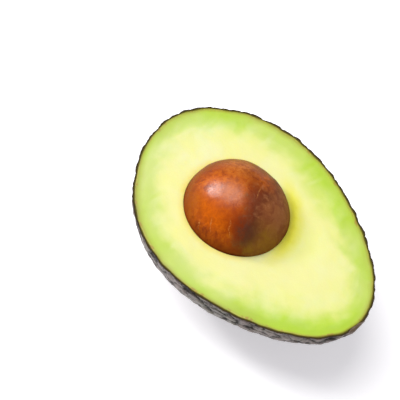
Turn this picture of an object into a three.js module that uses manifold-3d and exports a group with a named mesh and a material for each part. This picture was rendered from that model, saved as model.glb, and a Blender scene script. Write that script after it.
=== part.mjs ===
// Half an avocado with its seed, lying on its pebbled back with the cut face up.
// Millimetres, +Z up, +X towards the narrow stem end. The origin lies on the surface that the half
// rests on, under the middle of its box. Shapes are worked out from the middle of the cut face, where
// z is 0, and the whole group is lifted at the end.
import * as THREE from "three";
import { mergeVertices } from "three/addons/utils/BufferGeometryUtils.js";
import Module from "manifold-3d";

// The flesh: its size on the cut face, and its depth below it before the flat spot is pressed in.
const HALF_LENGTH = 52.4;
const HALF_WIDTH = 35.6;
const DEPTH = 34.7;

// How the section swells towards the broad end and narrows towards the stem, as shares of its size.
const TAPER = -0.175;
const WAIST = -0.082;
const SHOULDER = 0.11;

// The fruit is not quite even: both ends lie BOW to one side, and the ends twist apart by SWAY.
const BOW = 2.4;
const SWAY = -1.4;

// The peel between its pebbles, and the clearance that keeps one piece from touching the next.
const PEEL_THICKNESS = 0.6;
const GAP = 0.3;

// Pebbles of the skin: least distance between neighbours, reach of one bump and its height.
const PEBBLE_SPACING = 4.5;
const PEBBLE_REACH = 3.5;
const PEBBLE_HEIGHT = 0.9;
const PEBBLE_DRAWS = 9000;
const PEBBLE_SEED = 41;

// The scar where the stem came off, at the tip of the narrow end.
const SCAR_RADIUS = 3.6;
const SCAR_LIP = 0.5;
const SCAR_LIP_WIDTH = 1.1;
const SCAR_DEPTH = 0.2;

// How deep the flat spot that the half rests on is pressed in.
const FLAT_SPOT_DEPTH = 0.5;

// The seed: half its length, width and height, how far it narrows, and its middle.
const SEED_HALF = new THREE.Vector3(20.7, 18.8, 18.6);
const SEED_TAPER = -0.03;
const SEED_MIDDLE = new THREE.Vector3(-8.2, -1.2, -3.4);

// Fineness of the meshes: rings from the lowest point to the rim, and the splits of the seed's faces.
const SKIN_RINGS = 36;
const SMOOTH_RINGS = 18;
const SEED_SPLITS = 7;

const SKIN_OFFSET = GAP + PEEL_THICKNESS;
const REST_DEPTH = DEPTH + SKIN_OFFSET - FLAT_SPOT_DEPTH;
const CUT_OVERSHOOT = 2;

const wasm = await Module();
wasm.setup();

// A closed mesh as a manifold solid.
function solid(geometry) {
  const bare = geometry.clone();
  bare.deleteAttribute("normal");
  bare.deleteAttribute("uv");
  const merged = mergeVertices(bare);
  return new wasm.Manifold(
    new wasm.Mesh({
      numProp: 3,
      vertProperties: new Float32Array(merged.attributes.position.array),
      triVerts: new Uint32Array(merged.index.array),
    }),
  );
}

// A manifold solid as a mesh with the given name and finish.
function named(name, made, material) {
  const { vertProperties, triVerts } = made.getMesh();
  const geometry = new THREE.BufferGeometry()
    .setAttribute("position", new THREE.BufferAttribute(vertProperties, 3))
    .setIndex(new THREE.BufferAttribute(triVerts, 1));
  geometry.computeVertexNormals();
  const mesh = new THREE.Mesh(geometry, material);
  mesh.name = name;
  return mesh;
}

// Size of a cross-section at c, which runs from -1 at the broad end to 1 at the narrow end.
const swell = (c) => 1 + TAPER * c + WAIST * c ** 2 + SHOULDER * c ** 3;
const swellSlope = (c) => TAPER + 2 * WAIST * c + 3 * SHOULDER * c ** 2;

// Sideways place of a cross-section's middle.
const drift = (c) => BOW * c ** 2 + SWAY * (c ** 3 - 0.6 * c);
const driftSlope = (c) => 2 * BOW * c + SWAY * (3 * c ** 2 - 0.6);

// The flesh's surface in a direction from the middle of the cut face.
function fleshPoint(direction) {
  const { x: c, y, z } = direction;
  return new THREE.Vector3(
    HALF_LENGTH * c,
    HALF_WIDTH * swell(c) * y + drift(c),
    DEPTH * swell(c) * z,
  );
}

// The way out of the flesh at a point of its surface. On the cut face it lies in the cut.
function outward(point) {
  const c = point.x / HALF_LENGTH;
  const across = (point.y - drift(c)) / HALF_WIDTH ** 2;
  const narrowing = c * swell(c) ** 2 - (1 - c ** 2) * swell(c) * swellSlope(c);
  return new THREE.Vector3(
    (narrowing - across * driftSlope(c)) / HALF_LENGTH,
    across,
    point.z / DEPTH ** 2,
  ).normalize();
}

// A layer of the fruit at a distance outside the flesh, with the flat spot pressed into it.
function layerPoint(direction, distance) {
  const point = fleshPoint(direction);
  point.addScaledVector(outward(point), distance);
  point.z = Math.max(point.z, FLAT_SPOT_DEPTH - DEPTH - distance);
  return point;
}

// A bowl closed by a flat lid. Ring i has 6 * i points, the pole points down and the last ring is the
// rim. place gives the point in a direction, and lift raises the lid above the rim on a straight wall.
function bowl(rings, place, lift = 0) {
  const points = [];
  const faces = [];
  for (let ring = 0; ring <= rings; ring++) {
    const fall = (ring / rings) * (Math.PI / 2);
    const count = Math.max(1, 6 * ring);
    const z = ring === rings ? 0 : -Math.cos(fall);
    for (let k = 0; k < count; k++) {
      const turn = (k / count) * 2 * Math.PI;
      const reach = Math.sin(fall);
      const direction = new THREE.Vector3(reach * Math.cos(turn), reach * Math.sin(turn), z);
      points.push(place(direction));
    }
  }
  const index = (ring, k) => (ring === 0 ? 0 : 1 + 3 * ring * (ring - 1) + (k % (6 * ring)));
  for (let ring = 1; ring <= rings; ring++) {
    for (let k = 0; k < 6 * ring; k++) {
      const sector = Math.floor(k / ring);
      const inner = k - sector;
      faces.push([index(ring - 1, inner), index(ring, k + 1), index(ring, k)]);
      if (k % ring < ring - 1) {
        faces.push([index(ring - 1, inner), index(ring - 1, inner + 1), index(ring, k + 1)]);
      }
    }
  }
  closeLid(points, faces, 6 * rings, lift);
  const geometry = new THREE.BufferGeometry().setFromPoints(points);
  return geometry.setIndex(faces.flat());
}

// The lid of a bowl: the last count points are its rim.
function closeLid(points, faces, count, lift) {
  const first = points.length - count;
  let edge = first;
  if (lift > 0) {
    edge = points.length;
    for (let k = 0; k < count; k++) {
      points.push(points[first + k].clone().setZ(lift));
      const next = (k + 1) % count;
      faces.push([first + k, first + next, edge + next], [first + k, edge + next, edge + k]);
    }
  }
  const middle = points.push(new THREE.Vector3(0, 0, lift)) - 1;
  for (let k = 0; k < count; k++) {
    faces.push([middle, edge + k, edge + ((k + 1) % count)]);
  }
}

// Repeatable draws between 0 and 1.
function drawFrom(seed) {
  let state = seed;
  return () => {
    state = (state * 1664525 + 1013904223) % 2 ** 32;
    return state / 2 ** 32;
  };
}

// Places of the skin's pebbles: random spots that keep their distance, a few of them just past the
// cut so that the rim runs through their sides.
function scatterPebbles() {
  const draw = drawFrom(PEBBLE_SEED);
  const pebbles = [];
  for (let i = 0; i < PEBBLE_DRAWS; i++) {
    const z = 0.06 - 1.06 * draw();
    const turn = 2 * Math.PI * draw();
    const size = 0.75 + 0.35 * draw();
    const reach = Math.sqrt(1 - z ** 2);
    const direction = new THREE.Vector3(reach * Math.cos(turn), reach * Math.sin(turn), z);
    const place = layerPoint(direction, SKIN_OFFSET);
    if (pebbles.every((other) => other.place.distanceTo(place) > PEBBLE_SPACING)) {
      pebbles.push({ place, size });
    }
  }
  return pebbles;
}

const PEBBLES = scatterPebbles();
const STEM_END = layerPoint(new THREE.Vector3(1, 0, 0), SKIN_OFFSET);

// Height of the skin's relief at a point: the tallest bump that reaches it, and the stem scar.
function relief(point) {
  let height = 0;
  for (const { place, size } of PEBBLES) {
    const share = place.distanceTo(point) / (PEBBLE_REACH * size);
    if (share < 1) {
      height = Math.max(height, PEBBLE_HEIGHT * size * (1 - share ** 2));
    }
  }
  const away = STEM_END.distanceTo(point);
  const inScar = Math.exp(-((away / SCAR_RADIUS) ** 4));
  const onLip = Math.exp(-(((away - SCAR_RADIUS) / SCAR_LIP_WIDTH) ** 2));
  return height * (1 - inScar) + SCAR_LIP * onLip - SCAR_DEPTH * inScar;
}

// The pebbled outside of the skin. No pebble stands out of the flat spot.
function skinPoint(direction) {
  const smooth = layerPoint(direction, SKIN_OFFSET);
  const point = layerPoint(direction, SKIN_OFFSET + relief(smooth));
  point.z = Math.max(point.z, -REST_DEPTH);
  return point;
}

// The seed, a little fuller towards the broad end, grown all round by a clearance.
function seedGeometry(clearance) {
  const round = new THREE.IcosahedronGeometry(1, SEED_SPLITS);
  const place = round.attributes.position;
  for (let i = 0; i < place.count; i++) {
    const { x, y, z } = new THREE.Vector3().fromBufferAttribute(place, i);
    const narrowing = 1 + SEED_TAPER * x;
    place.setXYZ(
      i,
      (SEED_HALF.x + clearance) * x,
      (SEED_HALF.y + clearance) * y * narrowing,
      (SEED_HALF.z + clearance) * z * narrowing,
    );
  }
  return round;
}

function makeFlesh() {
  const whole = solid(bowl(SMOOTH_RINGS, (way) => layerPoint(way, 0)));
  const hollow = solid(seedGeometry(GAP).translate(...SEED_MIDDLE.toArray()));
  const butter = new THREE.MeshStandardMaterial({ color: 0xdfe878, roughness: 0.45 });
  return named("flesh", whole.subtract(hollow), butter);
}

function makePeel() {
  const outside = solid(bowl(SKIN_RINGS, skinPoint));
  const inside = solid(bowl(SMOOTH_RINGS, (way) => layerPoint(way, GAP), CUT_OVERSHOOT));
  const leather = new THREE.MeshStandardMaterial({ color: 0x45402c, roughness: 0.6 });
  return named("peel", outside.subtract(inside), leather);
}

function makeSeed() {
  const coat = new THREE.MeshStandardMaterial({ color: 0xa85a20, roughness: 0.45 });
  const seed = named("seed", solid(seedGeometry(0)), coat);
  seed.position.copy(SEED_MIDDLE);
  return seed;
}

const avocado = new THREE.Group();
avocado.add(makeFlesh(), makePeel(), makeSeed());

// Stand the half on its flat spot, with the middle of its box over the origin.
const middle = new THREE.Box3().setFromObject(avocado).getCenter(new THREE.Vector3());
avocado.position.set(-middle.x, -middle.y, REST_DEPTH);

export default avocado;
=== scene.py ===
import random
from math import asin, atan, cos, pi, radians, sin, sqrt

import bmesh
import bpy
from mathutils import Matrix, Vector, kdtree, noise


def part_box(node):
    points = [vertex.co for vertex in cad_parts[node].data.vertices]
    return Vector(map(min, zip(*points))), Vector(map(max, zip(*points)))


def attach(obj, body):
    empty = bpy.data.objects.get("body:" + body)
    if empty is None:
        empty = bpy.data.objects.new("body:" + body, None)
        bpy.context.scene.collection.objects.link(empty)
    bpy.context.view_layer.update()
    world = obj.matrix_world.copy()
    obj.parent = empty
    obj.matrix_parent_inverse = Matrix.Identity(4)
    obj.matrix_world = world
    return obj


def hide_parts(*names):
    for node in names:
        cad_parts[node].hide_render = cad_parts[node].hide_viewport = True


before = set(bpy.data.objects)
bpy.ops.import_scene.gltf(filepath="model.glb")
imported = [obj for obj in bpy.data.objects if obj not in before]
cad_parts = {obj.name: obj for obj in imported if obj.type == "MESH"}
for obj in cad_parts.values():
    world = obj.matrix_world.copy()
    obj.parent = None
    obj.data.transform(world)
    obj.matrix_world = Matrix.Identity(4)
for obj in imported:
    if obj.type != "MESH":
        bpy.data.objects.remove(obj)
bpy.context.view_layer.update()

# The table and the view: the half lies on a plain glowing white table under two soft lamps, seen from
# above, over its narrow end and one long side. It lies level, so its slant in the picture is the
# camera's roll. Every place on it is measured from the middle of its cut face.
MM = 0.001
SEED_MIDDLE = Vector((-8.2, -1.2, -3.4)) * MM
seed_low, seed_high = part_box("seed")
CUT_MIDDLE = (seed_low + seed_high) / 2 - SEED_MIDDLE

VIEW_CENTRE = CUT_MIDDLE + Vector((-19.1, -9.7, 0)) * MM
VIEW_DISTANCE = 500 * MM
VIEW_WIDTH = 146.1 * MM
VIEW_AZIMUTH = radians(43.4)
VIEW_ELEVATION = radians(60.8)
VIEW_ROLL = radians(8.3)
TABLE_REACH = 3.0
TABLE_GLOW = 0.48
ROOM_GLOW = 0.28
LAMP_DISTANCE = 2.6
LAMP_COLOUR = (1.0, 0.99, 0.98)


def add_camera():
    level = Vector((cos(VIEW_AZIMUTH), sin(VIEW_AZIMUTH), 0))
    ahead = Vector((-level.y, level.x, 0))
    back = Vector((0, 0, sin(VIEW_ELEVATION))) - ahead * cos(VIEW_ELEVATION)
    right = level * cos(VIEW_ROLL) + back.cross(level) * sin(VIEW_ROLL)
    turn = Matrix((right, back.cross(right), back)).transposed()
    camera = bpy.data.objects.new("camera", bpy.data.cameras.new("camera"))
    camera.matrix_world = Matrix.Translation(VIEW_CENTRE + VIEW_DISTANCE * back) @ turn.to_4x4()
    camera.data.angle = 2 * atan(VIEW_WIDTH / 2 / VIEW_DISTANCE)
    camera.data.clip_start = 10 * MM
    bpy.context.scene.collection.objects.link(camera)
    bpy.context.scene.camera = camera


def add_lamp(name, first, last, width, watts):
    """A soft lamp that shines on the half, as long as the way from one direction to another."""
    start = Vector(first).normalized() * LAMP_DISTANCE
    end = Vector(last).normalized() * LAMP_DISTANCE
    along = (end - start).normalized()
    middle = (start + end) / 2
    back = (middle - along * middle.dot(along)).normalized()
    light = bpy.data.lights.new(name, "AREA")
    light.shape = "RECTANGLE"
    light.size = (end - start).length
    light.size_y = width
    light.energy = watts
    light.color = LAMP_COLOUR
    lamp = bpy.data.objects.new(name, light)
    turn = Matrix((along, back.cross(along), back)).transposed()
    lamp.matrix_world = Matrix.Translation(CUT_MIDDLE + middle) @ turn.to_4x4()
    bpy.context.scene.collection.objects.link(lamp)


def add_table():
    corners = [(-1, -1, 0), (1, -1, 0), (1, 1, 0), (-1, 1, 0)]
    mesh = bpy.data.meshes.new("table")
    mesh.from_pydata([Vector(corner) * TABLE_REACH for corner in corners], [], [(0, 1, 2, 3)])
    finish = bpy.data.materials.new("white table")
    finish.use_nodes = True
    shader = finish.node_tree.nodes["Principled BSDF"]
    shader.inputs["Base Color"].default_value = (0.93, 0.93, 0.94, 1)
    shader.inputs["Roughness"].default_value = 0.7
    shader.inputs["Specular IOR Level"].default_value = 0.2
    shader.inputs["Emission Color"].default_value = (0.97, 0.95, 1.0, 1)
    shader.inputs["Emission Strength"].default_value = TABLE_GLOW
    mesh.materials.append(finish)
    table = bpy.data.objects.new("table", mesh)
    bpy.context.scene.collection.objects.link(table)


def add_white_room():
    room = bpy.data.worlds.new("white room")
    room.use_nodes = True
    room.node_tree.nodes["Background"].inputs["Color"].default_value = (0.97, 0.98, 1.0, 1)
    room.node_tree.nodes["Background"].inputs["Strength"].default_value = ROOM_GLOW
    bpy.context.scene.world = room


add_camera()
add_table()
add_white_room()
add_lamp("small window", (-0.80, -0.32, 0.53), (-0.80, -0.20, 0.53), width=0.36, watts=11.5)
add_lamp("long window", (-0.84, -0.30, 0.49), (-0.02, 0.10, 0.99), width=1.10, watts=55.5)
bpy.context.scene.view_settings.view_transform = "Standard"


# The flesh: one buttery body, cut flat by a knife and moist. It is lime green against the peel and
# pale yellow inside, and its cut face rolls down into the hollow that the seed has pressed into it.
HALF_LENGTH = 52.4 * MM
HALF_WIDTH = 35.6 * MM
DEPTH = 34.7 * MM
TAPER = -0.175
WAIST = -0.082
SHOULDER = 0.11
BOW = 2.4 * MM
SWAY = -1.4 * MM
SWAY_BALANCE = 0.6
FLAT_SPOT_DEPTH = 0.5 * MM
SEED_HALF = Vector((20.7, 18.8, 18.6)) * MM
SEED_TAPER = -0.03
SEED_FULL_WAY = Vector((0.55, 0.82, 0.15))
SEED_FULL_EDGE = 0.7
SEED_FULLNESS = 0.3 * MM

RIPPLE = 0.38 * MM
RIPPLE_LENGTH = 5.0 * MM
FLESH_GROWTH = 0.38 * MM
HOLLOW_GAP = 0.03 * MM
HOLLOW_LIP = 0.22 * MM
RIM_ROUND = 0.12 * MM
RIM_DROP = 0.02 * MM
RIM_PLACES = 1600
FACE_WAVE = 0.12 * MM
FACE_WAVE_FADE = 3.0 * MM
LONG_WAVES_PER_METRE = 70
SHORT_WAVES_PER_METRE = 260
SHORT_WAVE_SHARE = 0.4
SEED_SHARE_AT_CUT = 0.983
HOLLOW_SHARE = 1.1
AROUND = 420
HOLLOW_ROWS = 18
LIP_ROWS = 7
FACE_ROWS = 54
RIM_ROWS = 3
BACK_ROWS = 24


def swell(c):
    """Size of a cross-section, c running from -1 at the broad end to 1 at the narrow end."""
    return 1 + TAPER * c + WAIST * c**2 + SHOULDER * c**3


def drift(c):
    """Sideways place of a cross-section's middle."""
    return BOW * c**2 + SWAY * (c**3 - SWAY_BALANCE * c)


def outward(point):
    """The way out of the fruit at a point of the flesh's surface."""
    c = point.x / HALF_LENGTH
    across = (point.y - drift(c)) / HALF_WIDTH**2
    slope = TAPER + 2 * WAIST * c + 3 * SHOULDER * c**2
    sliding = 2 * BOW * c + SWAY * (3 * c**2 - SWAY_BALANCE)
    narrowing = c * swell(c) ** 2 - (1 - c**2) * swell(c) * slope
    along = (narrowing - across * sliding) / HALF_LENGTH
    return Vector((along, across, point.z / DEPTH**2)).normalized()


def layer(way, distance):
    """A point of the fruit's gently rippled layer at a distance outside the flesh, and the way out."""
    c, y, z = way
    inner = Vector((HALF_LENGTH * c, HALF_WIDTH * swell(c) * y + drift(c), DEPTH * swell(c) * z))
    out = outward(inner)
    distance += RIPPLE * noise.noise(inner / RIPPLE_LENGTH)
    point = inner + out * distance
    point.z = max(point.z, FLAT_SPOT_DEPTH - DEPTH - distance)
    return point, out


def smooth_step(value, low, high):
    share = min(1, max(0, (value - low) / (high - low)))
    return share * share * (3 - 2 * share)


def seed_point(way, clearance):
    """The seed's surface in a direction from its own middle, grown by a clearance."""
    narrowing = 1 + SEED_TAPER * way.x
    clearance += SEED_FULLNESS * smooth_step(way.dot(SEED_FULL_WAY), SEED_FULL_EDGE, 1.0)
    half = SEED_HALF + Vector((clearance, clearance, clearance))
    return SEED_MIDDLE + Vector((half.x * way.x, half.y * way.y * narrowing, half.z * way.z * narrowing))


def flesh_line(turn):
    """One line over the flesh from deep in the hollow to its underside, with 1 where it is the cut face."""
    edge_tilt = asin((-HOLLOW_LIP - SEED_MIDDLE.z) / SEED_HALF.z)
    line = []
    for row in range(1, HOLLOW_ROWS + 1):
        tilt = -pi / 2 + (edge_tilt + pi / 2) * row / HOLLOW_ROWS
        way = Vector((cos(tilt) * cos(turn), cos(tilt) * sin(turn), sin(tilt)))
        line.append((seed_point(way, HOLLOW_GAP), 0))
    wall = line[-1][0]
    rim = layer((cos(turn), sin(turn), 0), FLESH_GROWTH)[0]
    along = Vector((rim.x - wall.x, rim.y - wall.y, 0))
    width = along.length
    along /= width
    for row in range(1, LIP_ROWS + 1):
        bend = row / LIP_ROWS * pi / 2
        point = wall + along * HOLLOW_LIP * (1 - cos(bend))
        point.z = wall.z * (1 - sin(bend))
        line.append((point, 0))
    for row in range(1, FACE_ROWS + 1):
        reach = HOLLOW_LIP + (width - HOLLOW_LIP - RIM_ROUND) * row / FACE_ROWS
        line.append((Vector((wall.x, wall.y, 0)) + along * reach, 1))
    for row in range(1, RIM_ROWS + 1):
        bend = row / RIM_ROWS * pi / 2
        point = rim - along * RIM_ROUND * (1 - sin(bend))
        point.z = -RIM_ROUND * (1 - cos(bend))
        line.append((point, 0))
    for row in range(1, BACK_ROWS):
        fall = row / BACK_ROWS * pi / 2
        point = layer((cos(fall) * cos(turn), cos(fall) * sin(turn), -sin(fall)), FLESH_GROWTH)[0]
        point.z = min(point.z, -RIM_ROUND - RIM_DROP)
        line.append((point, 0))
    return line


def rim_finder():
    """A search for the nearest place on the border between flesh and peel."""
    finder = kdtree.KDTree(RIM_PLACES)
    for k in range(RIM_PLACES):
        turn = 2 * pi * k / RIM_PLACES
        finder.insert(layer((cos(turn), sin(turn), 0), FLESH_GROWTH)[0], k)
    finder.balance()
    return finder


def note_numbers(mesh, name, numbers):
    """Gives each point of a mesh a number of its own, which a finish can read by name."""
    mesh.attributes.new(name, "FLOAT", "POINT").data.foreach_set("value", numbers)


def note_vectors(mesh, name, numbers):
    """Gives each point of a mesh a vector of its own, from a flat list of numbers."""
    mesh.attributes.new(name, "FLOAT_VECTOR", "POINT").data.foreach_set("vector", numbers)


def flesh_mesh():
    """The closed flesh. Its points know how far they are from the peel and from the seed, in
    millimetres, and which place on the rim is the nearest."""
    finder = rim_finder()
    points = []
    from_peel = []
    from_seed = []
    rim_places = []
    for k in range(AROUND):
        for point, on_face in flesh_line(2 * pi * k / AROUND):
            flat = Vector((point.x, point.y, 0))
            rim, _, away = finder.find(flat)
            beside = flat - Vector((SEED_MIDDLE.x, SEED_MIDDLE.y, 0))
            share = sqrt((beside.x / SEED_HALF.x) ** 2 + (beside.y / SEED_HALF.y) ** 2)
            fade = on_face * min(1, away / FACE_WAVE_FADE)
            wave = noise.noise(point * LONG_WAVES_PER_METRE)
            wave += SHORT_WAVE_SHARE * noise.noise(point * SHORT_WAVES_PER_METRE)
            point.z += fade * FACE_WAVE * wave
            points.append(point + CUT_MIDDLE)
            is_seen = point.z > -4 * RIM_ROUND or share < HOLLOW_SHARE
            from_peel.append(away / MM if is_seen else 0)
            from_seed.append(max(0, share - SEED_SHARE_AT_CUT) * SEED_HALF.y / MM)
            rim_places += [rim.x, rim.y, away]
    rows = len(points) // AROUND
    faces = []
    for k in range(AROUND):
        start = k * rows
        beside = (k + 1) % AROUND * rows
        for row in range(rows - 1):
            faces.append((start + row, start + row + 1, beside + row + 1, beside + row))
        faces.append((AROUND * rows, start, beside))
        faces.append((AROUND * rows + 1, beside + rows - 1, start + rows - 1))
    points.append(seed_point(Vector((0, 0, -1)), HOLLOW_GAP) + CUT_MIDDLE)
    points.append(layer((0, 0, -1), FLESH_GROWTH)[0] + CUT_MIDDLE)
    mesh = bpy.data.meshes.new("flesh_half")
    mesh.from_pydata(points, [], faces)
    note_numbers(mesh, "from_peel", from_peel + [0, 0])
    note_numbers(mesh, "from_seed", from_seed + [0, 0])
    note_vectors(mesh, "rim_place", rim_places + [0] * 6)
    mesh.shade_smooth()
    return mesh


class Wire:
    """A socket of a node tree. Arithmetic on wires adds Math nodes, and node() adds any other node."""

    def __init__(self, tree, socket=None):
        self.tree = tree
        self.socket = socket

    def node(self, kind, settings=None, values=None, out=0):
        made = self.tree.nodes.new(kind)
        for name, value in (settings or {}).items():
            if name == "stops":
                set_stops(made.color_ramp.elements, value)
            else:
                setattr(made, name, value)
        for name, value in (values or {}).items():
            if isinstance(value, Wire):
                self.tree.links.new(value.socket, made.inputs[name])
            else:
                made.inputs[name].default_value = value
        return Wire(self.tree, made.outputs[out] if made.outputs else None)

    def maths(self, operation, *terms):
        return self.node("ShaderNodeMath", {"operation": operation}, dict(enumerate(terms)))

    def __add__(self, other):
        return self.maths("ADD", self, other)

    __radd__ = __add__

    def __sub__(self, other):
        return self.maths("SUBTRACT", self, other)

    def __rsub__(self, other):
        return self.maths("SUBTRACT", other, self)

    def __mul__(self, other):
        return self.maths("MULTIPLY", self, other)

    __rmul__ = __mul__

    def __truediv__(self, other):
        return self.maths("DIVIDE", self, other)

    def __rtruediv__(self, other):
        return self.maths("DIVIDE", other, self)

    def __pow__(self, other):
        return self.maths("POWER", self, other)

    def __rpow__(self, other):
        return self.maths("POWER", other, self)

    def larger(self, other):
        return self.maths("MAXIMUM", self, other)

    def with_vector(self, operation, other, out=0):
        """Vector Math on this wire's vector and another one."""
        return self.node("ShaderNodeVectorMath", {"operation": operation}, {0: self, 1: other}, out)

    def scaled(self, factor):
        """This wire's vector times a number."""
        return self.node("ShaderNodeVectorMath", {"operation": "SCALE"}, {0: self, "Scale": factor})

    def near(self, place, inner, outer):
        """1 where this wire's point is within inner of a place, easing to 0 at outer."""
        return self.with_vector("DISTANCE", place, "Value").step(inner, outer, 1.0, 0.0)

    def step(self, low, high, to_low=0.0, to_high=1.0):
        """Eases from to_low to to_high while this wire runs from low to high."""
        settings = {"interpolation_type": "SMOOTHSTEP"}
        values = {"Value": self, "From Min": low, "From Max": high, "To Min": to_low, "To Max": to_high}
        return self.node("ShaderNodeMapRange", settings, values)

    def mixed(self, first, second):
        """A colour that runs from first to second as this wire runs from 0 to 1."""
        first, second = [paint if isinstance(paint, Wire) else (*paint, 1) for paint in (first, second)]
        settings = {"data_type": "RGBA", "clamp_factor": True}
        return self.node("ShaderNodeMix", settings, {0: self, 6: first, 7: second}, 2)

    def ramp(self, stops):
        """A colour ramp over this wire, its stops as pairs of place and colour."""
        return self.node("ShaderNodeValToRGB", {"stops": stops}, {"Fac": self})

    def grain(self, size, detail=2.0, roughness=0.5, stretch=None, swirl=0.0, out=0):
        """Soft noise over this wire's vector, between 0 and 1, with spots about a size across."""
        vector = self
        if stretch:
            vector = self.node("ShaderNodeMapping", None, {"Vector": self, "Scale": stretch})
        values = {"Vector": vector, "Scale": 1 / size, "Detail": detail, "Roughness": roughness,
                  "Distortion": swirl}
        return self.node("ShaderNodeTexNoise", None, values, out)

    def attribute(self, name, out="Fac"):
        return self.node("ShaderNodeAttribute", {"attribute_name": name}, None, out)

    def bumps(self, strength, distance):
        """The way a surface faces when this wire raises it."""
        values = {"Strength": strength, "Distance": distance, "Height": self}
        return self.node("ShaderNodeBump", None, values)


def set_stops(elements, stops):
    while len(elements) < len(stops):
        elements.new(1)
    for element, (place, colour) in zip(elements, stops):
        element.position = place
        element.color = (*colour, 1)


def new_finish(name):
    """A new material: itself, a wire to build with, a wire with the place on the piece, and its shader."""
    finish = bpy.data.materials.new(name)
    finish.use_nodes = True
    at = Wire(finish.node_tree)
    place = at.node("ShaderNodeTexCoord", None, None, "Object")
    return finish, at, place, finish.node_tree.nodes["Principled BSDF"]


def join(wire, shader, socket):
    wire.tree.links.new(wire.socket, shader.inputs[socket])


# Soft patches of the cut face. Each has its middle along and across the face, the reach at which it is
# full and the one at which it ends, in millimetres, and its strength.
WIDE_GREEN = [((4, 36), 8, 30, 0.17), ((-50, 15), 5, 24, 0.4), ((-26, 34), 5, 20, 0.3),
              ((-27, -30), 5, 22, 0.15)]
NARROW_GREEN = [((6, -34), 5, 22, 0.2), ((45, -14), 5, 22, 0.15)]
LUSH_PATCHES = [((44, -18), 10, 34, 1.1), ((6, 34), 6, 26, 0.6), ((-46, 19), 4, 20, 0.6)]
DULL_PATCHES = [((-52, 0), 3, 16, 0.35), ((27, -30), 3, 15, 0.45)]
CREAMY_BEND = [((-46, -20), 6, 22, 1.0)]
CREAMY_PATCHES = [((-38, 6), 4, 15, 0.4), ((0, -25), 2, 14, 0.25)]
# A patch beside the seed painted a lighter yellow: painted light that pales the seed's shadow on the cut
# face.
LIGHTENED_PATCHES = [((17, 8), 3, 12, 0.75)]

# Two ramps of flesh colours, from the peel to where the flesh is palest, that many millimetres in.
PALEST_DEPTH = 22
PALE_FLESH = [
    (0.00, (0.24, 0.21, 0.018)), (0.020, (0.42, 0.44, 0.055)), (0.050, (0.50, 0.60, 0.095)),
    (0.10, (0.55, 0.69, 0.115)), (0.20, (0.565, 0.70, 0.130)), (0.29, (0.64, 0.745, 0.185)),
    (0.40, (0.77, 0.805, 0.275)), (0.56, (0.85, 0.84, 0.345)), (1.00, (0.86, 0.845, 0.36))]
LUSH_FLESH = [
    (0.00, (0.23, 0.20, 0.012)), (0.020, (0.42, 0.50, 0.020)), (0.045, (0.46, 0.65, 0.028)),
    (0.12, (0.45, 0.66, 0.028)), (0.20, (0.51, 0.71, 0.045)), (0.32, (0.66, 0.765, 0.150)),
    (0.50, (0.80, 0.83, 0.29)), (0.70, (0.85, 0.845, 0.34)), (1.00, (0.86, 0.845, 0.36))]
DULL_GREEN = (0.44, 0.54, 0.07)
CREAM = (0.84, 0.855, 0.49)
LEMON = (0.85, 0.84, 0.28)
PAINTED_LIGHT_YELLOW = (0.875, 0.895, 0.30)
AIRED_TAN = (0.76, 0.67, 0.13)
BRUISE = (0.42, 0.24, 0.045)
YOLK = (0.86, 0.66, 0.08)
# The seed's shade on the flesh, painted: olive yellow beside the seed and a darker olive close against it.
SHADE_OLIVE = (0.82, 0.79, 0.01)
DEEP_SHADE_OLIVE = (0.40, 0.33, 0.01)
SEED_SHADE_WAY = Vector((0.77, 0.64, 0)) / (20 * MM)


def covered(from_cut, patches):
    """How strongly some soft patches of the cut face cover a point."""
    cover = 0.0
    for (x, y), inner, outer, strength in patches:
        cover = cover + from_cut.near(Vector((x, y, 0)) * MM, inner * MM, outer * MM) * strength
    return cover


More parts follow.
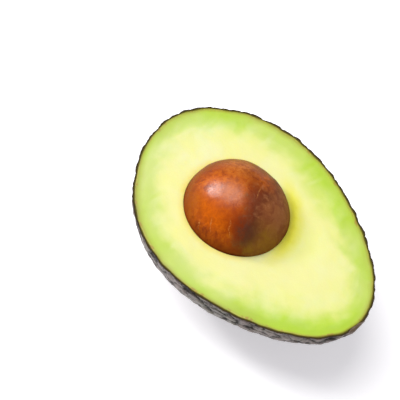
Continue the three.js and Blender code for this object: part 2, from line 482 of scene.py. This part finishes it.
def butter_flesh():
    finish, at, place, shader = new_finish("butter flesh")
    from_cut = place.with_vector("SUBTRACT", CUT_MIDDLE)
    cloud = place.grain(14 * MM, 2, 0.4, swirl=0.8)
    drops = place.grain(4 * MM, 2, 0.4, swirl=0.5)
    bands = at.attribute("rim_place", "Vector").grain(3 * MM, 2, 0.45, (0.22, 0.22, 1.0))
    rind = at.attribute("from_peel")
    depth = rind + (cloud - 0.5) * rind.step(0.5, 6, 0, 10) + (bands - 0.5) * rind.step(0, 4, 0, 2.5)
    depth = depth + (drops - 0.5) * rind.step(0, 4, 0, 3)
    depth = depth * (1.0 - covered(from_cut, WIDE_GREEN) + covered(from_cut, NARROW_GREEN))
    depth = depth / PALEST_DEPTH
    lushness = covered(from_cut, LUSH_PATCHES) + (place.grain(11 * MM, 2, 0.4, swirl=1.0) - 0.45) * 1.6
    colour = lushness.mixed(depth.ramp(PALE_FLESH), depth.ramp(LUSH_FLESH))
    dull = covered(from_cut, DULL_PATCHES) * rind.step(2, 7, 1, 0)
    colour = dull.mixed(colour, DULL_GREEN)
    streak = place.grain(7 * MM, 2, 0.4, (1.0, 0.6, 1.0), 0.8).step(0.35, 0.85, 0, 0.5)
    cream = covered(from_cut, CREAMY_BEND) * rind.step(0.8, 3, 0, 0.25)
    cream = cream + covered(from_cut, CREAMY_PATCHES) + streak * rind.step(1, 8)
    colour = cream.mixed(colour, CREAM)
    lemon = place.grain(9 * MM, 2, 0.4, (0.6, 1.0, 1.0), 1.0).step(0.38, 0.75) * rind.step(5, 11)
    colour = (lemon * 0.6).mixed(colour, LEMON)
    # Painted light: a lighter yellow patch beside the seed, where the seed's shadow falls on the cut face.
    colour = covered(from_cut, LIGHTENED_PATCHES).mixed(colour, PAINTED_LIGHT_YELLOW)
    beside_peel = (rind + (drops - 0.5) * 0.5).step(0.15, 0.75, 1, 0)
    aired = beside_peel * place.grain(8 * MM, 2).step(0.42, 0.62)
    colour = (aired * 0.35).mixed(colour, AIRED_TAN)
    beside_peel = (rind + (drops - 0.5) * 1.2).step(0.3, 1.1, 1, 0)
    bruised = beside_peel * place.grain(2.6 * MM, 1).step(0.61, 0.69)
    colour = (bruised * 0.7).mixed(colour, BRUISE)
    spread = at.attribute("from_seed") + (drops - 0.5) * 1.6
    from_seed = from_cut.with_vector("SUBTRACT", Vector((SEED_MIDDLE.x, SEED_MIDDLE.y, 0)))
    shaded = from_seed.with_vector("DOT_PRODUCT", SEED_SHADE_WAY, "Value")
    yolk = spread.step(0.0, 3.0, 0.6, 0) * shaded.step(0.0, 0.6, 1, 0)
    colour = yolk.mixed(colour, YOLK)
    # Painted shade of the seed on the flesh, on the side away from the lamps: olive yellow, then darker
    # olive close to the seed.
    olive = spread.step(1.0, 7.0, 1.0, 0) * shaded.step(0.55, 1.05)
    colour = olive.mixed(colour, SHADE_OLIVE)
    deep_seed_shade = spread.step(0.3, 3.0, 0.45, 0) * shaded.step(0.75, 1.05)
    colour = deep_seed_shade.mixed(colour, DEEP_SHADE_OLIVE)
    join(colour, shader, "Base Color")
    fine = place.grain(0.7 * MM, 3, 0.6)
    join((fine + drops * 2).bumps(0.25, 0.1 * MM), shader, "Normal")
    join(drops.step(0.3, 0.7, 0.36, 0.5), shader, "Roughness")
    shader.inputs["Subsurface Weight"].default_value = 0.5
    shader.inputs["Subsurface Radius"].default_value = (1.0, 0.85, 0.35)
    shader.inputs["Subsurface Scale"].default_value = 2.0 * MM
    shader.inputs["Specular IOR Level"].default_value = 0.4
    return finish


def add_piece(mesh, finish, node):
    """Shows a mesh in place of a node of the part."""
    piece = bpy.data.objects.new(mesh.name, mesh)
    bpy.context.scene.collection.objects.link(piece)
    if not mesh.materials:
        mesh.materials.append(finish)
    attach(piece, "root")
    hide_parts(node)


add_piece(flesh_mesh(), butter_flesh(), "flesh")


# The peel: a thin leathery skin grown to the flesh and cut level with it. It is pebbled all over,
# dark olive brown, and at the narrow end it keeps half of the scar where the stem came off.
PEEL_INSIDE = 0.40 * MM
PEEL_OUTSIDE = 0.76 * MM
SKIN_RINGS = 150
LINING_RINGS = 30
PEBBLE_SPACING = 3.4 * MM
PEBBLE_REACH = 2.95 * MM
PEBBLE_HEIGHT = 0.84 * MM
PEBBLE_DRAWS = 16000
PEBBLE_SEED = 41
PEBBLES_ABOVE_CUT = 0.08
SHAKE_SIZE = 2.6 * MM
SHAKE_REACH = 2.8 * MM
TALL_PATCH = 7.0 * MM
SMALL_PEBBLE = 1.7 * MM
SMALL_PEBBLE_SHARE = 0.32
WRINKLE = 0.9 * MM
WRINKLE_SHARE = 0.22
SCAR_RADIUS = 3.6 * MM
SCAR_LIP_WIDTH = 1.1 * MM
SCAR_LIP_HEIGHT = 0.5 * MM
SCAR_DEPTH = 0.3 * MM
CORK_GRAIN = 0.8 * MM
CORK_HEIGHT = 0.5 * MM
TABLE_LEVEL = (-1, -1, 0)
SHARPEST_CREASE = radians(62)


def ring_start(ring):
    """Number of the first point of a ring, where ring i has 6 * i points round the lowest point."""
    return 0 if ring == 0 else 1 + 3 * ring * (ring - 1)


def bowl(rings, distance):
    """Points of a layer below the cut, the way out at each, and faces that look outwards."""
    points = []
    outs = []
    faces = []
    for ring in range(rings + 1):
        fall = ring / rings * pi / 2
        count = max(1, 6 * ring)
        for k in range(count):
            turn = 2 * pi * k / count
            point, out = layer((sin(fall) * cos(turn), sin(fall) * sin(turn), -cos(fall)), distance)
            points.append(point + CUT_MIDDLE)
            outs.append(out)
        if ring == rings:
            continue
        inner = ring_start(ring)
        outer = ring_start(ring + 1)
        for k in range(6 * (ring + 1)):
            sector = k // (ring + 1)
            near = inner + (k - sector) % count
            faces.append((near, outer + (k + 1) % (count + 6 if ring else 6), outer + k))
            if k % (ring + 1) < ring:
                faces.append((near, inner + (k - sector + 1) % count, outer + (k + 1) % (count + 6)))
    return points, outs, faces


def peel_mesh():
    """The peel before its pebbles rise: a smooth outside, a lining and the cut edge between them."""
    points, outs, faces = bowl(SKIN_RINGS, PEEL_OUTSIDE)
    lining, lining_outs, lining_faces = bowl(LINING_RINGS, PEEL_INSIDE)
    outside = len(points)
    outer_rim = ring_start(SKIN_RINGS)
    inner_rim = outside + ring_start(LINING_RINGS)
    for a, b, c in lining_faces:
        faces.append((outside + a, outside + c, outside + b))
    outer_count = 6 * SKIN_RINGS
    inner_count = 6 * LINING_RINGS
    share = outer_count // inner_count
    for k in range(inner_count):
        inner = inner_rim + k
        for step in range(share):
            first = outer_rim + k * share + step
            second = outer_rim + (k * share + step + 1) % outer_count
            faces.append((inner, first, second))
        last = outer_rim + (k + 1) * share % outer_count
        faces.append((inner, last, inner_rim + (k + 1) % inner_count))
    mesh = bpy.data.meshes.new("peel_base")
    mesh.from_pydata(points + lining, [], faces)
    note_vectors(mesh, "outward", [part for out in outs + lining_outs for part in out])
    note_numbers(mesh, "skin", [1] * outside + [0] * len(lining))
    return mesh


def pebble_places():
    """Random places that keep their distance, a few of them just past the cut, so that the rim runs
    through their sides."""
    draw = random.Random(PEBBLE_SEED)
    kept = {}
    places = []
    for _ in range(PEBBLE_DRAWS):
        z = PEBBLES_ABOVE_CUT - (1 + PEBBLES_ABOVE_CUT) * draw.random()
        turn = 2 * pi * draw.random()
        reach = sqrt(1 - z**2)
        place = layer((reach * cos(turn), reach * sin(turn), z), PEEL_OUTSIDE)[0] + CUT_MIDDLE
        cell = tuple(int(part // PEBBLE_SPACING) for part in place)
        near = [kept.get((cell[0] + a, cell[1] + b, cell[2] + c), [])
                for a in (-1, 0, 1) for b in (-1, 0, 1) for c in (-1, 0, 1)]
        if all((place - other).length > PEBBLE_SPACING for group in near for other in group):
            kept.setdefault(cell, []).append(place)
            places.append(place)
    mesh = bpy.data.meshes.new("pebble_places")
    mesh.from_pydata(places, [], [])
    return mesh


def pebbled_skin(finish):
    """The nodes that raise pebbles and the stem scar along the way out, store how high they stand, and
    press flat what would sink into the table."""
    tree = bpy.data.node_groups.new("pebbled skin", "GeometryNodeTree")
    tree.interface.new_socket("Geometry", in_out="OUTPUT", socket_type="NodeSocketGeometry")
    identifiers = {}
    for name, kind in (("Geometry", "Geometry"), ("Pebbles", "Object"), ("Reach", "Float"),
                       ("Height", "Float"), ("Stem End", "Vector")):
        made = tree.interface.new_socket(name, in_out="INPUT", socket_type="NodeSocket" + kind)
        identifiers[name] = made.identifier
    at = Wire(tree)
    given = at.node("NodeGroupInput").socket.node
    entry = {socket.name: Wire(tree, socket) for socket in given.outputs if socket.name}
    place = at.node("GeometryNodeInputPosition")
    places = at.node("GeometryNodeObjectInfo", None, {"Object": entry["Pebbles"]}, "Geometry")
    shake = place.grain(SHAKE_SIZE, 1.0, out="Color").with_vector("SUBTRACT", (0.5, 0.5, 0.5))
    shaken = place.with_vector("ADD", shake.scaled(SHAKE_REACH))
    number = at.node("GeometryNodeSampleNearest", None, {"Geometry": places, "Sample Position": shaken})
    nearest = at.node("GeometryNodeSampleIndex", {"data_type": "FLOAT_VECTOR"},
                      {"Geometry": places, "Value": place, "Index": number})
    share = shaken.with_vector("DISTANCE", nearest, "Value") / entry["Reach"]
    pebble = (1 - share * share).larger(0.0) * place.grain(TALL_PATCH, 1.0).step(0.3, 0.7, 0.55, 1.0)
    cells = at.node("ShaderNodeTexVoronoi", {"feature": "SMOOTH_F1"},
                    {"Vector": shaken, "Scale": 1 / SMALL_PEBBLE, "Smoothness": 0.35}, "Distance")
    small = (1 - cells * cells * 2.4).larger(0.0) * SMALL_PEBBLE_SHARE
    wrinkle = (place.grain(WRINKLE, 2.0) - 0.5) * WRINKLE_SHARE
    height = entry["Height"] * (pebble + small * (1.25 - pebble) + wrinkle)
    from_stem = place.with_vector("DISTANCE", entry["Stem End"], "Value")
    in_scar = at.maths("EXPONENT", 0.0 - (from_stem / SCAR_RADIUS) ** 4.0)
    from_lip = (from_stem - SCAR_RADIUS) / SCAR_LIP_WIDTH
    on_lip = at.maths("EXPONENT", 0.0 - from_lip * from_lip)
    height = height * (1 - in_scar) + on_lip * SCAR_LIP_HEIGHT - in_scar * SCAR_DEPTH
    height = height + in_scar * (place.grain(CORK_GRAIN, 3.0) - 0.5) * CORK_HEIGHT
    skin = at.node("GeometryNodeInputNamedAttribute", {"data_type": "FLOAT"}, {"Name": "skin"})
    out = at.node("GeometryNodeInputNamedAttribute", {"data_type": "FLOAT_VECTOR"}, {"Name": "outward"})
    height = height * skin
    shape = entry["Geometry"]
    for name, value in (("relief", height / MM), ("scar", in_scar)):
        shape = at.node("GeometryNodeStoreNamedAttribute", {"data_type": "FLOAT", "domain": "POINT"},
                        {"Geometry": shape, "Name": name, "Value": value})
    risen = place.with_vector("ADD", out.scaled(height)).with_vector("MAXIMUM", TABLE_LEVEL)
    shape = at.node("GeometryNodeSetPosition", None, {"Geometry": shape, "Position": risen})
    shape = at.node("GeometryNodeRealizeInstances", None, {"Geometry": shape})
    shape = at.node("GeometryNodeSetMaterial", None, {"Geometry": shape, "Material": finish})
    at.node("NodeGroupOutput", None, {"Geometry": shape})
    return tree, identifiers


# The peel's browns from its creases to the tops of its pebbles, on its warmer and its greener parts,
# darker in the creases as painted shade and lighter on the tops as painted sheen; those of its cut edge
# from the flesh to the outside, and the cork's in the scar.
WARM_PEEL = [
    (0.0, (0.012, 0.007, 0.005)), (0.25, (0.030, 0.020, 0.015)),
    (0.5, (0.070, 0.045, 0.034)), (1.0, (0.200, 0.140, 0.122))]
GREEN_PEEL = [
    (0.0, (0.010, 0.009, 0.004)), (0.25, (0.024, 0.021, 0.009)),
    (0.5, (0.052, 0.045, 0.022)), (1.0, (0.130, 0.113, 0.070))]
CUT_EDGE = [
    (0.0, (0.20, 0.19, 0.016)), (0.22, (0.095, 0.080, 0.009)), (0.45, (0.048, 0.035, 0.006)),
    (0.8, (0.040, 0.025, 0.007)), (1.0, (0.034, 0.021, 0.010))]
SCAR_CORK = [(0.3, (0.10, 0.06, 0.03)), (0.7, (0.30, 0.20, 0.11))]
DOT_TAN = (0.30, 0.24, 0.13)
DOT_SPACING = 3.1 * MM


def leather_peel():
    finish, at, place, shader = new_finish("leather peel")
    skin = at.attribute("skin")
    speck = place.grain(0.55 * MM, 3, 0.6)
    patch = place.grain(3 * MM, 2)
    height = at.attribute("relief") + (speck - 0.5) * 0.9 + (patch - 0.5) * 0.5
    # The relief sets the tone: painted shade in the creases and painted sheen on the pebble tops, over the
    # peel's own brown.
    tone = height.step(0.02, 0.95)
    greener = place.grain(14 * MM, 3, 0.6).step(0.45, 0.70)
    colour = greener.mixed(tone.ramp(WARM_PEEL), tone.ramp(GREEN_PEEL))
    dots = at.node("ShaderNodeTexVoronoi", None, {"Vector": place, "Scale": 1 / DOT_SPACING}, "Distance")
    dot = (dots + (speck - 0.5) * 0.1).step(0.07, 0.12, 1, 0) * height.step(0.2, 0.4)
    colour = (dot * 0.6).mixed(colour, DOT_TAN)
    colour = at.attribute("scar").mixed(colour, speck.ramp(SCAR_CORK))
    edge = (skin + (speck - 0.5) * 0.35).ramp(CUT_EDGE)
    colour = skin.step(0.84, 0.99).mixed(edge, colour)
    join(colour, shader, "Base Color")
    fine = place.grain(0.28 * MM, 3, 0.6)
    join((fine + speck).bumps(0.5, 0.08 * MM), shader, "Normal")
    join(height.step(0.0, 0.6, 0.62, 0.45), shader, "Roughness")
    join(skin.step(0.9, 1.0) * height.step(0.15, 0.6, 0.05, 0.6), shader, "Coat Weight")
    shader.inputs["Coat Roughness"].default_value = 0.36
    shader.inputs["Specular IOR Level"].default_value = 0.10
    return finish


def add_peel():
    base = bpy.data.objects.new("peel_base", peel_mesh())
    places = bpy.data.objects.new("pebble_places", pebble_places())
    for part in (base, places):
        bpy.context.scene.collection.objects.link(part)
    finish = leather_peel()
    tree, identifiers = pebbled_skin(finish)
    pebbling = base.modifiers.new("pebbles", "NODES")
    pebbling.node_group = tree
    pebbling[identifiers["Pebbles"]] = places
    pebbling[identifiers["Reach"]] = PEBBLE_REACH
    pebbling[identifiers["Height"]] = PEBBLE_HEIGHT
    pebbling[identifiers["Stem End"]] = layer((1, 0, 0), PEEL_OUTSIDE)[0] + CUT_MIDDLE
    ready = base.evaluated_get(bpy.context.evaluated_depsgraph_get())
    mesh = bpy.data.meshes.new_from_object(ready)
    mesh.name = "peel_half"
    mesh.shade_smooth()
    mesh.set_sharp_from_angle(angle=SHARPEST_CREASE)
    bpy.data.objects.remove(base)
    bpy.data.objects.remove(places)
    add_piece(mesh, finish, "peel")


add_peel()


# The seed: one large hard seed, loose in its hollow. Its satin orange-brown skin is bare on one side,
# with a spot rubbed shiny, and on the other a dry papery coat still clings to it, with a torn edge.
SEED_FINENESS = 7
COAT_WAY = Vector((0.893, 0.391, 0.223))
COAT_PLACE = 0.49
COAT_HEIGHT = 0.12 * MM
COAT_EDGE = 0.03
COAT_TEARS = [(2.6, 0.10), (9, 0.05), (30, 0.02)]
SEED_LUMP_HEIGHT = 0.14 * MM
SEED_LUMPS = [(3.1, 1.0), (8, 0.35)]


def ripples(way, waves):
    """Noise over the seed, added up from waves: how many there are to its radius, and how high."""
    return sum(height * noise.noise(way * count) for count, height in waves)


def seed_mesh():
    """The seed with soft lumps. Its points know how far they lie inside the papery coat's edge."""
    shape = bmesh.new()
    bmesh.ops.create_icosphere(shape, subdivisions=SEED_FINENESS, radius=1)
    coat = []
    ways = []
    for point in shape.verts:
        way = point.co.normalized()
        edge = way.dot(COAT_WAY) - COAT_PLACE + ripples(way, COAT_TEARS)
        share = smooth_step(edge, -COAT_EDGE, COAT_EDGE)
        coat.append(edge)
        ways += list(way)
        lumps = SEED_LUMP_HEIGHT * ripples(way, SEED_LUMPS)
        point.co = seed_point(way, lumps + COAT_HEIGHT * (share - 0.5)) + CUT_MIDDLE
    mesh = bpy.data.meshes.new("seed_whole")
    shape.to_mesh(mesh)
    shape.free()
    note_numbers(mesh, "coat", coat)
    note_vectors(mesh, "way", ways)
    mesh.shade_smooth()
    return mesh


# Places on the seed are ways out from its middle, and reaches are shares of its radius. Each split has
# its middle, the way across it and its length, and each patch on the bare skin (stains, and one of
# painted light) its middle, its full reach, the reach at which it ends, its strength and its colour.
SKIN_SPLITS = [
    ((0.10, -0.80, 0.59), (0.86, 0.45, 0.25), 0.20), ((0.38, -0.60, 0.70), (0.78, 0.62, 0.10), 0.24),
    ((0.24, 0.22, 0.95), (0.86, 0.44, -0.25), 0.16), ((-0.08, -0.90, 0.42), (0.95, 0.20, 0.25), 0.15)]
RUST = (0.36, 0.046, 0.002)
# A brighter orange painted on the side of the seed turned towards the camera: painted light.
FACING_LIGHT_ORANGE = (0.68, 0.130, 0.002)
EMBER = (0.40, 0.058, 0.002)
LEATHER_BROWN = (0.32, 0.066, 0.002)
BARE_STAINS_AND_LIGHT = [
    ((0.36, -0.45, 0.80), 0.05, 0.40, 0.75, RUST), ((-0.05, -0.66, 0.75), 0.10, 0.50, 0.60, FACING_LIGHT_ORANGE),
    ((0.00, -0.32, 0.95), 0.10, 0.50, 0.45, EMBER), ((-0.46, -0.70, 0.55), 0.05, 0.46, 0.60, LEATHER_BROWN)]
BARE_ORANGE = [
    (0.38, (0.22, 0.028, 0.002)), (0.46, (0.38, 0.062, 0.002)),
    (0.54, (0.55, 0.104, 0.002)), (0.62, (0.68, 0.160, 0.003))]
SHEEN_AND_BLOOM_PINK = (0.66, 0.25, 0.10)
EDGE_SHADE_BROWN = (0.19, 0.032, 0.001)
UPPER_LIGHT_ORANGE = (0.62, 0.19, 0.03)
COAT_BROWN = (0.15, 0.034, 0.012)
COAT_TAN = (0.36, 0.120, 0.036)
RUDDY_BROWN = (0.21, 0.046, 0.016)
WORN_ORANGE = (0.46, 0.098, 0.006)
FIBRE_TAN = (0.48, 0.20, 0.085)
FLESH_REFLECTION_OLIVE = (0.35, 0.168, 0.008)
PLUM_ON_COAT = (0.100, 0.029, 0.018)
PLUM_ON_BARE = (0.20, 0.030, 0.004)
SPLIT_PALE = (0.72, 0.30, 0.08)
CONTACT_SHADE_BROWN = (0.05, 0.008, 0.002)


def fissures(way, speck):
    """The fine splits of the seed's skin: 1 along each of them."""
    waver = (way.grain(0.07, 2) - 0.5) * 0.09
    all_splits = 0.0
    for middle, across, length in SKIN_SPLITS:
        middle = Vector(middle).normalized()
        across = Vector(across)
        across = (across - middle * across.dot(middle)).normalized()
        aside = way.with_vector("DOT_PRODUCT", across, "Value") + waver
        split = aside.maths("ABSOLUTE", aside).step(0.004, 0.013, 1, 0)
        split = split * way.near(middle, length * 0.3, length) * speck.step(0.3, 0.6)
        all_splits = split.larger(all_splits)
    return all_splits


def bare_skin(way, cloud, fibre, speck, plum):
    """The colour of the seed's own skin, stained where the flesh and the air have worked on it, with
    painted light on its top and on the side turned to the camera, a pink painted sheen round the shiny
    spot, partly a dusty bloom, and painted shade towards its outline.
    """
    colour = (cloud * 0.4 + fibre * 0.66 - 0.03).ramp(BARE_ORANGE)
    for middle, inner, outer, strength, patch_colour in BARE_STAINS_AND_LIGHT:
        colour = (way.near(middle, inner, outer) * strength).mixed(colour, patch_colour)
    # A pale pink tint round the shiny spot: painted sheen, partly a dusty bloom on the skin.
    sheen_and_bloom = (way.near((-0.09, -0.14, 0.98), 0.0, 0.48) + (speck - 0.5) * 0.4).step(0.1, 1.0, 0, 0.3)
    colour = sheen_and_bloom.mixed(colour, SHEEN_AND_BLOOM_PINK)
    # Painted shade: the bare skin darkens away from its side facing the camera, towards the seed's outline
    # and the flesh.
    edge_shade = 1 - way.near((0.0, -0.50, 0.87), 0.35, 1.10)
    colour = (edge_shade * 0.85 + (fibre - 0.5) * 1.6 * edge_shade).mixed(colour, EDGE_SHADE_BROWN)
    colour = (plum * 0.5).mixed(colour, PLUM_ON_BARE)
    # Painted light: a lighter orange, streaked by the grain, on the seed's top.
    upper_light = way.near((-0.40, 0.38, 0.83), 0.0, 0.55) * fibre.step(0.38, 0.62, 0.25, 0.8)
    return upper_light.mixed(colour, UPPER_LIGHT_ORANGE)


def papery_coat(way, coat, fibre, ruddy, plum):
    """The colour of the dry coat: brown at its torn edge and tan inside, worn and plum in places, with a
    painted reflection of the yellow flesh on its low side.
    """
    colour = coat.step(-0.02, 0.40).mixed(COAT_BROWN, COAT_TAN)
    colour = ruddy.step(0.42, 0.62, 0, 0.55).mixed(colour, RUDDY_BROWN)
    worn = way.near((0.02, 0.56, 0.83), 0.10, 0.42) * fibre.step(0.35, 0.6, 0.4, 1.0)
    colour = worn.mixed(colour, WORN_ORANGE)
    colour = fibre.step(0.50, 0.72, 0, 0.28).mixed(colour, FIBRE_TAN)
    # Painted reflection of the yellow flesh: an olive tint on the coat where the seed sits low beside the
    # flesh.
    flesh_reflection = way.near((0.88, -0.30, 0.34), 0.20, 0.68) * (0.80 - ruddy.step(0.36, 0.68, 0, 0.35))
    colour = flesh_reflection.mixed(colour, FLESH_REFLECTION_OLIVE)
    return plum.mixed(colour, PLUM_ON_COAT)


def seed_skin():
    finish, at, place, shader = new_finish("seed skin")
    way = at.attribute("way", "Vector")
    height = at.node("ShaderNodeSeparateXYZ", None, {"Vector": way}, "Z")
    cloud = place.grain(11 * MM, 2)
    ruddy = place.grain(4.5 * MM, 3, 0.6, swirl=0.8)
    fibre = place.grain(1.8 * MM, 4, 0.65, (1.0, 1.0, 0.45), 0.6)
    speck = place.grain(0.5 * MM, 3, 0.6)
    coat = at.attribute("coat") + (fibre - 0.5) * 0.45
    plum = way.near((0.57, -0.44, 0.69), 0.10, 0.44) * 0.8
    bare = bare_skin(way, cloud, fibre, speck, plum)
    colour = coat.step(-0.22, 0.10).mixed(bare, papery_coat(way, coat, fibre, ruddy, plum))
    crack = fissures(way, speck)
    colour = (crack * 0.45).mixed(colour, SPLIT_PALE)
    # Painted shade: a dark brown line round the seed's foot where it meets the flesh, on the side towards
    # the camera.
    contact_shade = way.near((0.35, -0.92, 0.20), 0.3, 0.9) * height.step(0.12, 0.27, 0.95, 0)
    join(contact_shade.mixed(colour, CONTACT_SHADE_BROWN), shader, "Base Color")
    relief = speck * 1.1 + fibre * 0.7 - crack * 0.8
    join(relief.bumps(0.6, 0.12 * MM), shader, "Normal")
    matt = coat.step(-0.05, 0.10, 0.34, 0.52).larger(height.step(0.10, 0.55, 0.65, 0.34))
    join(matt + (speck - 0.5) * 0.2, shader, "Roughness")
    polish = way.near((-0.34, -0.36, 0.87), 0.06, 0.36)
    sheen = way.near((-0.08, -0.18, 0.98), 0.20, 0.68) * 0.34
    join(polish.larger(sheen) * speck.step(0.35, 0.6, 0.5, 1.0), shader, "Coat Weight")
    shader.inputs["Coat Roughness"].default_value = 0.33
    shader.inputs["Coat IOR"].default_value = 1.7
    shader.inputs["Specular IOR Level"].default_value = 0.08
    return finish


add_piece(seed_mesh(), seed_skin(), "seed")
